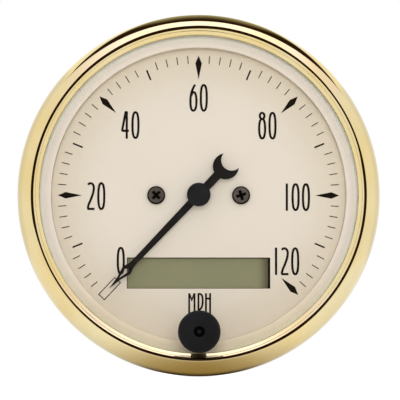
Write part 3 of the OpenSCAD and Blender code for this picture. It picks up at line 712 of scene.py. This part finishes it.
def add_bezel():
    """One spun sheet: flat seat, rounded edge, sloping side, rolled crest and turned-in lip."""
    crest_in = CREST_C[0] - CREST_R * math.sin(math.radians(60))
    fillet = arc(crest_in - 0.02, LIP_Z + SHEET + 0.5 + FILLET_R, FILLET_R, -10, -60, 4)
    profile = [(SEAT_R, 0)] + arc(BEZEL_R - EDGE_R, EDGE_R, EDGE_R, -90, 0, 10)
    profile += arc(*SLOPE_C, SLOPE_R, 0, 55, 40)
    profile += arc(*CREST_C, CREST_R, 58, 150, 24)
    profile += fillet
    profile += [(LIP_R + 0.06, LIP_Z + SHEET), (LIP_R, LIP_Z + SHEET - 0.06), (LIP_R, LIP_Z)]
    profile += [(CREST_C[0] - CREST_R + SHEET * 0.8, LIP_Z)]
    profile += arc(*CREST_C, CREST_R - SHEET, 180, 55, 6)
    profile += arc(*SLOPE_C, SLOPE_R - SHEET, 50, 0, 16)
    profile += [(BEZEL_R - SHEET, SHEET), (SEAT_R, SHEET)]
    piece("bezel_smooth", lathe(profile, 288), "housing", "gold_bezel", ["bezel"], 50)


# Ring round the dial

RING_R = (35.0, 38.4)
RING_Z = (1.0, 4.55)
RING_ROUND = 0.25
SEAM_SHADE = 0.15


def add_surround():
    """The spacer ring with its rounded inner edge, a dark skin of painted shade on its inner wall,
    and a dark ring of painted shade where the lens meets the bezel's lip."""
    inner, outer = RING_R
    low, high = RING_Z
    profile = [(outer, low), (outer, high - 0.1), (outer - 0.1, high)]
    profile += arc(inner + RING_ROUND, high - RING_ROUND, RING_ROUND, 90, 180, 5)
    profile += [(inner, low)]
    piece("dial_surround", lathe(profile), "housing", "cream_plastic", ["spacer_ring"], 50)
    # painted shade: a darker skin over the ring's inner wall, which deepens the shade on the dial
    # beside it
    wall = box_outline(inner - 0.04, inner + 0.02, low, high - 2 * RING_ROUND)
    piece("surround_wall_painted_shade", lathe(wall), "housing", "cream_plastic", look="wall_painted_shade")
    # painted shade: a dark ring in the corner between the lens and the bezel's lip
    seam = [(LIP_R - SEAM_SHADE, LIP_Z + 0.01), (LIP_R - 0.01, LIP_Z + 0.01),
            (LIP_R - 0.01, LIP_Z + SEAM_SHADE - 0.01)]
    piece("lip_seam_painted_shade", lathe(seam), "housing", "cream_plastic", look="seam_painted_shade")


# Figures and unit letters on the dial

DIAL_Z = 1.0
INK = 0.04
FIGURE_H = 6.5
FIGURE_W = 1.79
FIGURE_GAP = 0.68
FIGURE_STROKE = 0.54
ONE_W = 0.38
ONE_GAP = 1.0


def curve(points, steps=6):
    """A smooth open path through the points."""
    last = len(points) - 1
    path = []
    for i in range(last):
        near = [points[min(max(i + k, 0), last)] for k in (-1, 0, 1, 2)]
        for s in range(steps):
            t = s / steps
            path.append(tuple(
                0.5 * (2 * b + (c - a) * t + (2 * a - 5 * b + 4 * c - d) * t * t
                       + (3 * b - a - 3 * c + d) * t ** 3)
                for a, b, c, d in zip(*near)))
    return path + [points[-1]]


def oval(cx, cy, rx, ry, squareness=2.5, steps=56):
    """A closed path between an ellipse, squareness 2, and a box."""
    ring = []
    for i in range(steps):
        a = 2 * math.pi * i / steps
        c, s = math.cos(a), math.sin(a)
        ring.append((cx + rx * math.copysign(abs(c) ** (2 / squareness), c),
                     cy + ry * math.copysign(abs(s) ** (2 / squareness), s)))
    return ring


# Each stroke is (path, closed), in shares of the figure's box with y down from the top
GLYPHS = {
    "0": [(oval(0.5, 0.5, 0.395, 0.47), True)],
    "1": [([(0.5, 0), (0.5, 1)], False)],
    "2": [(curve([(0.12, 0.085), (0.26, 0.04), (0.46, 0.03), (0.7, 0.055), (0.86, 0.135),
                  (0.885, 0.225), (0.83, 0.34), (0.66, 0.5), (0.42, 0.67), (0.22, 0.8),
                  (0.13, 0.89), (0.11, 0.965)]), False),
          ([(0.02, 0.97), (0.98, 0.97)], False)],
    "4": [([(0.58, 0.0), (0.1, 0.71)], False), ([(0.72, 0), (0.72, 1)], False),
          ([(0.02, 0.71), (1, 0.71)], False), ([(0.46, 0.028), (0.8, 0.028)], False)],
    "6": [(curve([(0.72, 0.01), (0.5, 0.12), (0.3, 0.25), (0.15, 0.42), (0.1, 0.6),
                  (0.13, 0.8), (0.26, 0.93), (0.48, 0.972), (0.72, 0.93), (0.86, 0.8),
                  (0.9, 0.6), (0.85, 0.44), (0.72, 0.33), (0.53, 0.29), (0.36, 0.32),
                  (0.2, 0.42)]), False)],
    "8": [(oval(0.5, 0.14, 0.3, 0.11, 2.1), True), (oval(0.5, 0.61, 0.395, 0.36, 2.3), True)],
    "M": [([(0.1, 1), (0.1, 0)], False), ([(0.9, 1), (0.9, 0)], False),
          ([(0.12, 0.01), (0.5, 0.25), (0.88, 0.01)], False)],
    "P": [([(0.13, 1), (0.13, 0)], False),
          (curve([(0.13, 0.027), (0.45, 0.03), (0.74, 0.08), (0.87, 0.2), (0.87, 0.38),
                  (0.72, 0.52), (0.45, 0.6), (0.13, 0.625)]), False)],
    "H": [([(0.13, 1), (0.13, 0)], False), ([(0.87, 1), (0.87, 0)], False),
          ([(0.13, 0.2), (0.87, 0.2)], False)],
}


def ribbon(path, width, closed):
    """A stroke of even width along a path, as quads that share their corners."""
    count = len(path)
    left, right = [], []
    for i, (x, y) in enumerate(path):
        before = path[i - 1] if closed or i else path[i]
        after = path[(i + 1) % count] if closed or i < count - 1 else path[i]
        one = Vector((x - before[0], y - before[1]))
        two = Vector((after[0] - x, after[1] - y))
        one = one.normalized() if one.length else two.normalized()
        two = two.normalized() if two.length else one
        way = (one + two).normalized()
        reach = width / 2 / max(0.5, way.dot(one))
        left.append((x - way.y * reach, y + way.x * reach))
        right.append((x + way.y * reach, y - way.x * reach))
    last = count if closed else count - 1
    return [[left[i], right[i], right[(i + 1) % count], left[(i + 1) % count]]
            for i in range(last)]


def glyph(name, cx, cy, width, height, stroke):
    """The quads of one figure or letter centred on a point of the dial."""
    quads = []
    for path, closed in GLYPHS[name]:
        placed = [(cx + (u - 0.5) * width, cy + (0.5 - v) * height) for u, v in path]
        quads += ribbon(placed, stroke, closed)
    return quads


FIGURES = {
    "0": (-18.5, -15.6), "20": (-24.4, -0.2), "40": (-16.3, 16.8), "60": (0, 23.35),
    "80": (16.4, 16.7), "100": (23.65, -0.4), "120": (21.05, -15.7),
}


def number(text, cx, cy):
    """The quads of a whole number, with narrower ones that stand further off."""
    widths = [ONE_W if c == "1" else FIGURE_W for c in text]
    gaps = [ONE_GAP if c == "1" else FIGURE_GAP for c in text[:-1]]
    left = cx - (sum(widths) + sum(gaps)) / 2
    quads = []
    for c, width, gap in zip(text, widths, gaps + [0]):
        quads += glyph(c, left + width / 2, cy, width, FIGURE_H, FIGURE_STROKE)
        left += width + gap
    return quads


LETTER_TOP = -23.3
LETTER_H = 6.3
LETTER_STROKE = 0.45
LETTERS = {"M": (-1.61, 1.58), "P": (0.45, 1.33), "H": (2.24, 1.33)}


def ink(quads):
    """A thin layer of ink that stands on the dial and reaches a little into it."""
    return plate(quads, DIAL_Z - INK / 2, DIAL_Z + INK)


def add_print():
    """The scale's numbers and the letters of its unit."""
    numbers = [ink(number(text, *at)) for text, at in FIGURES.items()]
    piece("numerals", joined(*numbers), "housing", "dial_ink")
    middle = LETTER_TOP - LETTER_H / 2
    letters = [ink(glyph(name, x, middle, width, LETTER_H, LETTER_STROKE))
               for name, (x, width) in LETTERS.items()]
    piece("unit_letters", joined(*letters), "housing", "dial_ink")


# Button and its spring

BUTTON_Y = -32.6
BUTTON_R = 4.95
BUTTON_Z = (10.2, 15.2)
BUTTON_BORE = 1.61
BORE_DEEP = 3.4
BACK_ROUND = 0.3
FRONT_ROUND = 0.7
DOME = 0.4
RECESS_R = 1.3
RECESS_DEEP = 0.6
PIP_R = 0.45


def add_button():
    """A knob with a slightly domed face, and a small round recess with a pip in the middle, lined
    with black painted shade.
    """
    back, front = BUTTON_Z
    profile = [(0, back + BORE_DEEP), (BUTTON_BORE, back + BORE_DEEP), (BUTTON_BORE, back)]
    profile += arc(BUTTON_R - BACK_ROUND, back + BACK_ROUND, BACK_ROUND, -90, 0, 5)
    profile += arc(BUTTON_R - FRONT_ROUND, front - 0.3 - FRONT_ROUND, FRONT_ROUND, 0, 80, 10)
    profile += [(k * BUTTON_R, front - DOME * k ** 2) for k in (0.8, 0.7, 0.6, 0.5, 0.4)]
    profile += arc(RECESS_R + 0.1, front - 0.1, 0.1, 90, 180, 5)
    profile += [(RECESS_R, front - RECESS_DEEP), (PIP_R, front - RECESS_DEEP),
                (PIP_R, front - 0.4)]
    profile += arc(PIP_R - 0.2, front - 0.4, 0.2, 0, 90, 4) + [(0, front - 0.2)]
    piece("button_knob", lathe(profile, 96, 0, BUTTON_Y, False), "reset_button",
          "button_plastic", ["reset_knob"], 50)
    # painted shade: a black lining in the recess round the pip
    inner, outer = PIP_R - 0.05, RECESS_R + 0.04
    low, floor = front - RECESS_DEEP - 0.1, front - RECESS_DEEP + 0.04
    recess_shade_lining = [(inner, low), (outer, low), (outer, front - 0.2), (outer - 0.1, front - 0.2),
              (outer - 0.1, floor), (inner, floor)]
    piece("button_recess_shade", lathe(recess_shade_lining, 64, 0, BUTTON_Y), "reset_button", "button_plastic",
          look="recess_painted_shade")


SPRING_WIRE = 0.5
SPRING_TURNS = 7


def add_button_spring():
    """The coil behind the button."""
    low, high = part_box("reset_spring")
    back, front = -high[1] / MM, -low[1] / MM
    half = SPRING_WIRE / 2
    middle_r = (high[0] - low[0]) / MM / 2 - half
    steps, sides = SPRING_TURNS * 24, 10
    points = []
    for i in range(steps + 1):
        turn = 2 * math.pi * SPRING_TURNS * i / steps
        along = back + half + (front - back - SPRING_WIRE) * i / steps
        points += [(r * math.cos(turn), BUTTON_Y + r * math.sin(turn), along + z)
                   for r, z in circle(half, sides, middle_r)]
    ends = [tuple(range(sides)), tuple(steps * sides + k for k in range(sides))]
    coil = piece("reset_coil", (points, ends + between(steps + 1, sides)), None, "spring_steel",
                 ["reset_spring"], 50)
    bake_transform(coil)


# Display

WINDOW = (34.1, 7.4)
WINDOW_Y = -18.5
LCD_FRONT = -0.2
# The border's widths stand partly for painted shadow of the window's edges, widest on the right
MASK_OUT = 0.8
MASK_RIGHT = 0.5
MASK_LEFT = 0.14
MASK_LOW = 0.14
MASK_TOP = 0.16


def add_display_border_and_shadow():
    """A black border on the display's glass, partly the glass's own border and partly painted
    shadow of the window's edges, widest on the right.
    """
    w, h = WINDOW[0] / 2, WINDOW[1] / 2
    outer = box_outline(-w - MASK_OUT, w + MASK_OUT, -h - MASK_OUT, h + MASK_OUT)
    inner = box_outline(-w + MASK_LEFT, w - MASK_RIGHT, -h + MASK_LOW, h - MASK_TOP)
    border_shape = plate([outer], LCD_FRONT - 0.02, LCD_FRONT + 0.06, [inner])
    piece("display_border_and_shadow", shifted(border_shape, 0, WINDOW_Y), "housing", "dial_ink")


# Screw heads with a cross recess

def cross(size, turn, width=0.3):
    """Outline of a cross with arms of the given span."""
    a, b = size / 2, size * width / 2
    corners = [(a, -b), (a, b), (b, b), (b, a), (-b, a), (-b, b),
               (-a, b), (-a, -b), (-b, -b), (-b, -a), (b, -a), (b, -b)]
    c, s = math.cos(math.radians(turn)), math.sin(math.radians(turn))
    return [(x * c - y * s, x * s + y * c) for x, y in corners]


def screw_head(radius, base, top, dome, size, deep, turn, shank_r, shank_end):
    """A pan head that faces up from base to top, with its shank below, about (0, 0). Its cross
    recess has the given size, depth and turn."""
    rings = [circle(radius * k, 48) for k in (1, 0.95, 0.85, 0.65, 0.4)]
    flat, found = triangles(rings + [cross(size, turn)])

    def height(x, y):
        k = min(1, math.hypot(x, y) / radius)
        return top - dome * k ** 2 - (top - base) * 0.25 * max(0, (k - 0.85) / 0.15) ** 2

    face = [t for t, own in found if len(rings) not in own]
    sunk = [t for t, own in found if len(rings) in own]
    count = len(flat)
    points = [(x, y, height(x, y)) for x, y in flat]
    points += [(x * 0.8, y * 0.8, top - deep) for x, y in flat]
    faces = face + [tuple(i + count for i in t) for t in sunk]
    faces += [(a, b, b + count, a + count) for a, b in border(sunk)]
    skirt = {}
    for a, b in border(face + sunk):
        for i in (a, b):
            if i not in skirt:
                skirt[i] = len(points)
                points.append((flat[i][0], flat[i][1], base))
        faces.append((a, b, skirt[b], skirt[a]))
    ring = sorted(skirt.values(), key=lambda i: math.atan2(points[i][1], points[i][0]))
    faces.append(tuple(ring))
    shank = lathe([(0, base + 0.1), (shank_r, base + 0.1), (shank_r, shank_end),
                   (0, shank_end)], 24, closed=False)
    return joined((points, faces), shank)


# Each screw is (x, turn of its cross in degrees)
DIAL_SCREWS = ((-10.1, 44), (10.1, 17))


def add_dial_screws():
    """The two screws on the dial, with painted shade: a black fill in each cross and a dark ring
    round each rim.
    """
    heads, painted_shade_marks = [], []
    for x, turn in DIAL_SCREWS:
        head = screw_head(radius=2.1, base=DIAL_Z, top=2.1, dome=0.12, size=2.5, deep=0.8,
                          turn=turn, shank_r=1.2, shank_end=-6.4)
        heads.append(shifted(head, x))
        # painted shade in the cross recess and round the rim
        fill = plate([cross(2.46, turn)], 1.2, 1.9)
        rim = lathe([(1.86, DIAL_Z), (2.14, DIAL_Z), (2.14, 1.85), (1.86, 2.05)], 64)
        painted_shade_marks += [shifted(fill, x), shifted(rim, x)]
    piece("dial_screw_heads", joined(*heads), "housing", "black_screw", ["dial_screws"], 40)
    piece("dial_screw_painted_shade", joined(*painted_shade_marks), "housing", "black_screw", look="recess_painted_shade")


# Threads, nuts and washers at the back

CHAMFER = 0.5


def thread(radius, low, high, pitch, depth, steps=36):
    """A helical thread as one open tube, with a chamfer at its low end."""
    rows = round((high - low) / pitch * 6)
    points = []
    for k in range(rows + 1):
        z = low + (high - low) * k / rows
        most = radius - max(0, CHAMFER - (z - low))
        for i in range(steps):
            phase = (z / pitch - i / steps) % 1
            r = min(most, radius - depth * abs(2 * phase - 1))
            a = 2 * math.pi * i / steps
            points.append((r * math.cos(a), r * math.sin(a), z))
    return points, between(rows + 1, steps) + [tuple(range(steps))[::-1]]


def nut(across, low, high, bore):
    """A hexagonal nut, chamfered at its corners and at its bore."""
    flat = across / 2 * 0.97

    def profile(a):
        corner = across / 2 / math.cos((a % (math.pi / 3)) - math.pi / 6)
        drop = (corner - flat) * 0.58
        return [(bore, low + 0.35), (bore + 0.35, low), (flat, low), (corner, low + drop),
                (corner, high - drop), (flat, high), (bore + 0.35, high), (bore, high - 0.35)]
    return turned(profile, 96)


def toothed_washer(radius, bore, low, high, teeth=12):
    """A lock washer whose outer teeth are twisted out of its plane."""
    middle, half = (low + high) / 2, 0.22
    twist = (high - low) / 2 - half

    def profile(a):
        phase = (a * teeth / (2 * math.pi)) % 1
        tooth = phase < 0.6
        outer = radius if tooth else radius - 0.75
        lift = twist * (phase / 0.3 - 1) if tooth else 0
        return [(bore, middle - half), (radius - 1, middle - half), (outer, middle - half + lift),
                (outer, middle + half + lift), (radius - 1, middle + half), (bore, middle + half)]
    return turned(profile, teeth * 10)


STUD_X = 19
STUD_R = 2.0
STUD_BACK = -78
STUD_HEAD_R = 4.5
STUD_HEAD_T = 2
CASE_BACK = -58
CASE_FLOOR = -57
NUT_AF = 7
NUT_H = 3.2
THREAD_PITCH = 0.7
THREAD_DEEP = 0.36
STUD_HOLE_R = 2.3
STRAP_FRONT = -64.4
STRAP_T = 1.6
WASHER_R = 3.9
WASHER_BACK = -66.9


def at_studs(shape):
    """The shape at both studs."""
    return joined(*[shifted(shape, x) for x in (-STUD_X, STUD_X)])


def add_studs():
    """The studs with their heads in the case, the nuts that hold them, and the washers and
    nuts that press the bracket on."""
    flat_r, head_top = STUD_HEAD_R - 0.3, CASE_FLOOR + STUD_HEAD_T
    head = lathe([(0, CASE_FLOOR), (flat_r, CASE_FLOOR), (STUD_HEAD_R, CASE_FLOOR + 0.3),
                  (STUD_HEAD_R, head_top - 0.3), (flat_r, head_top), (0, head_top)],
                 64, closed=False)
    rod = thread(STUD_R, STUD_BACK, CASE_FLOOR, THREAD_PITCH, THREAD_DEEP)
    piece("threaded_studs", at_studs(joined(rod, head)), "housing", "zinc_steel",
          ["mounting_studs"], 28)
    inner = nut(NUT_AF, CASE_BACK - NUT_H, CASE_BACK, STUD_R + 0.01)
    piece("hex_stud_nuts", at_studs(inner), "housing", "zinc_steel", ["stud_nuts"], 20)
    washer = toothed_washer(WASHER_R, STUD_HOLE_R, WASHER_BACK, STRAP_FRONT - STRAP_T)
    piece("toothed_washers", at_studs(washer), "bracket_set", "zinc_steel", ["lock_washers"], 30)
    outer = nut(NUT_AF, WASHER_BACK - NUT_H, WASHER_BACK, STUD_R + 0.05)
    piece("hex_bracket_nuts", at_studs(outer), "bracket_set", "zinc_steel", ["bracket_nuts"], 20)


# Each screw is (its place on the ring, turn of its cross), both in degrees
PILLAR_RING = 31
PILLAR_SCREWS = ((90, 12), (210, 50), (330, 71))


def add_rear_screws():
    """The three screws in the case's back, which face away from the driver."""
    heads = []
    for angle, turn in PILLAR_SCREWS:
        head = screw_head(radius=2.8, base=0, top=2, dome=0.5, size=3.4, deep=1.1, turn=turn,
                          shank_r=1.5, shank_end=-7)
        at = math.radians(angle)
        heads.append(shifted(moved(head, lambda u, v, w: (u, v, CASE_BACK - w)),
                             PILLAR_RING * math.cos(at), PILLAR_RING * math.sin(at)))
    piece("rear_screw_heads", joined(*heads), "housing", "zinc_steel", ["pillar_screws"], 40)


# Bracket

STRAP_W = 18
STRAP_IN = 40.75
STRAP_BEND = 2
STRAP_FLAT = STRAP_IN - STRAP_BEND
BEND_LENGTH = (STRAP_BEND + STRAP_T * 0.75) * math.pi / 2
FOOT_Z = -3
FOOT_CUT = 2


def on_strap(u, v, w):
    """Bends a flat strip into the bracket's U. u runs along it, w is its thickness."""
    side = math.copysign(1, u)
    past = abs(u) - STRAP_FLAT
    if past <= 0:
        return (u, v, STRAP_FRONT - w)
    middle_z = STRAP_FRONT + STRAP_BEND
    if past < BEND_LENGTH:
        a = past / BEND_LENGTH * math.pi / 2
        r = STRAP_BEND + w
        return (side * (STRAP_FLAT + r * math.sin(a)), v, middle_z - r * math.cos(a))
    return (side * (STRAP_IN + w), v, middle_z + past - BEND_LENGTH)


def add_bracket():
    """A bent strap with two stud holes and cut corners at its feet."""
    bend_end = STRAP_FLAT + BEND_LENGTH
    reach = bend_end + FOOT_Z - (STRAP_FRONT + STRAP_BEND)
    half = STRAP_W / 2
    bends = [STRAP_FLAT + BEND_LENGTH * i / 10 for i in range(11)]
    beside_holes = [x + off for x in (-STUD_X, STUD_X) for off in (-4.5, 4.5)]
    marks = sorted(bends + beside_holes + [-c for c in bends])
    strips = [box_outline(a, b, -half, half) for a, b in zip(marks, marks[1:])]
    for side in (-1, 1):
        inner, outer = side * bends[-1], side * reach
        tip = outer - side * FOOT_CUT
        strips.append([(inner, -half), (tip, -half), (outer, -half + FOOT_CUT),
                       (outer, half - FOOT_CUT), (tip, half), (inner, half)])
    holes = [circle(STUD_HOLE_R, 40, x) for x in (-STUD_X, STUD_X)]
    strap = moved(plate(strips, 0, STRAP_T, holes), on_strap)
    piece("bent_bracket", strap, "bracket_set", "zinc_steel", ["mounting_bracket"], 30, 0.25)


# Lamp sockets and terminals

LAMP_X = 20
LAMP_Y = 21
SOCKET_R = 5.9
SOCKET_FRONT = -44
BULB_BORE = 4.7
BULB_DEEP = 6
FLANGE_R = 8.2
FLANGE_FACE_R = 7.2
FLANGE_BACK = -60.5
FLANGE_FRONT = -58.3
LUG_REACH = 1.5
LUG_W = 3


def rounded(width, height, radius, steps=6):
    """Outline of a rectangle with rounded corners about (0, 0)."""
    ring = []
    for k, (sx, sy) in enumerate(((1, 1), (-1, 1), (-1, -1), (1, -1))):
        ring += [(sx * (width / 2 - radius) + x, sy * (height / 2 - radius) + y)
                 for x, y in arc(0, 0, radius, 90 * k, 90 * k + 90, steps)]
    return ring


def flange_rim(a):
    """The flange's outer edge, with 30 ribs round it."""
    edge = FLANGE_R - 0.3 * (0.5 + 0.5 * math.cos(30 * a)) ** 2
    return [(edge - 0.3, FLANGE_BACK + 0.2), (edge, FLANGE_BACK + 0.5),
            (edge, FLANGE_FRONT - 0.4), (edge - 0.3, FLANGE_FRONT - 0.1)]


def socket_shape():
    """A twist-lock lamp holder: ribbed flange, barrel with two lugs, and a finger grip."""
    def profile(a):
        return [(0, FLANGE_BACK), (FLANGE_FACE_R, FLANGE_BACK), *flange_rim(a),
                (FLANGE_FACE_R, FLANGE_FRONT), (SOCKET_R, FLANGE_FRONT),
                (SOCKET_R, SOCKET_FRONT - 0.4), (SOCKET_R - 0.4, SOCKET_FRONT),
                (BULB_BORE + 0.2, SOCKET_FRONT), (BULB_BORE, SOCKET_FRONT - 0.2),
                (BULB_BORE, SOCKET_FRONT - BULB_DEEP), (0, SOCKET_FRONT - BULB_DEEP)]
    body = turned(profile, 240, closed=False)
    grip_rows = ((0, 1), (0.5, 1), (4.7, 0.93), (5.2, 0.86), (5.5, 0.72))
    outline = rounded(2 * SOCKET_R, LUG_W, 1.2)
    count = len(outline)
    points = [(x * k, y * (0.4 + 0.6 * k), FLANGE_BACK + 0.1 - h)
              for h, k in grip_rows for x, y in outline]
    end = tuple(range(len(points) - count, len(points)))
    grip = (points, between(len(grip_rows), count) + [end])
    lugs = plate([rounded(2 * (SOCKET_R + LUG_REACH), LUG_W, 0.5, 3)], -56.7, -55.2)
    return joined(body, grip, lugs)


def add_sockets():
    for side, name in ((-1, "left"), (1, "right")):
        piece("lamp_holder_" + name, shifted(socket_shape(), side * LAMP_X, LAMP_Y),
              "lamp_unit_" + name, "dark_plastic", ["lamp_socket_" + name], 32)


BLOCK_Y = -20
BLOCK_OUTER = (34, 13)
BLOCK_INNER = (32, 11)
BLOCK_BACK = -64
BLADE_X = (-12, -4, 4, 12)
BLADE_W = 6.3
BLADE_T = 0.8
BLADE_BACK = -73
BLADE_FRONT = -52
BLADE_HOLE_Z = -69
BLADE_HOLE_R = 0.8


def add_terminals():
    """The terminal block outside and inside the case, and its four blades."""
    slots = [[(x + u, v) for u, v in rounded(BLADE_T + 0.02, BLADE_W + 0.02, 0.1, 2)]
             for x in BLADE_X]
    outer = plate([rounded(*BLOCK_OUTER, 1.2)], BLOCK_BACK, CASE_BACK, slots)
    inner = plate([rounded(*BLOCK_INNER, 0.8)], CASE_BACK, BLADE_FRONT, slots)
    piece("terminal_moulding", shifted(joined(outer, inner), 0, BLOCK_Y), "housing",
          "dark_plastic", ["terminal_block"], 35, 0.3)
    half = BLADE_W / 2
    outline = [(-half, BLADE_FRONT), (-half, BLADE_BACK + 1.6), (-half + 1.1, BLADE_BACK),
               (half - 1.1, BLADE_BACK), (half, BLADE_BACK + 1.6), (half, BLADE_FRONT)]
    hole = circle(BLADE_HOLE_R, 24, 0, BLADE_HOLE_Z)
    blade = plate([outline], -BLADE_T / 2, BLADE_T / 2, [hole])
    upright = moved(blade, lambda u, v, w: (w, u, v))
    blades = [shifted(upright, x, BLOCK_Y) for x in BLADE_X]
    piece("spade_blades", joined(*blades), "housing", "tinned_metal", ["blade_terminals"], 35,
          0.15)


# Widths of small roundings
SOFT_EDGES = {"pointer": 0.07, "pointer_cap": 0.12, "lens": 0.2, "lcd_panel": 0.1}


def soften_edges():
    """Rounds some CAD nodes that show with their own shape."""
    for name, width in SOFT_EDGES.items():
        add_bevel(nodes[name], width)


def add_scene():
    add_camera()
    add_world()
    add_floor()
    add_key()
    dress_nodes()
    add_bezel()
    add_surround()
    add_print()
    add_button()
    add_button_spring()
    add_display_border_and_shadow()
    add_dial_screws()
    add_studs()
    add_rear_screws()
    add_bracket()
    add_sockets()
    add_terminals()
    soften_edges()


bpy.context.scene.view_settings.view_transform = "Standard"
add_scene()
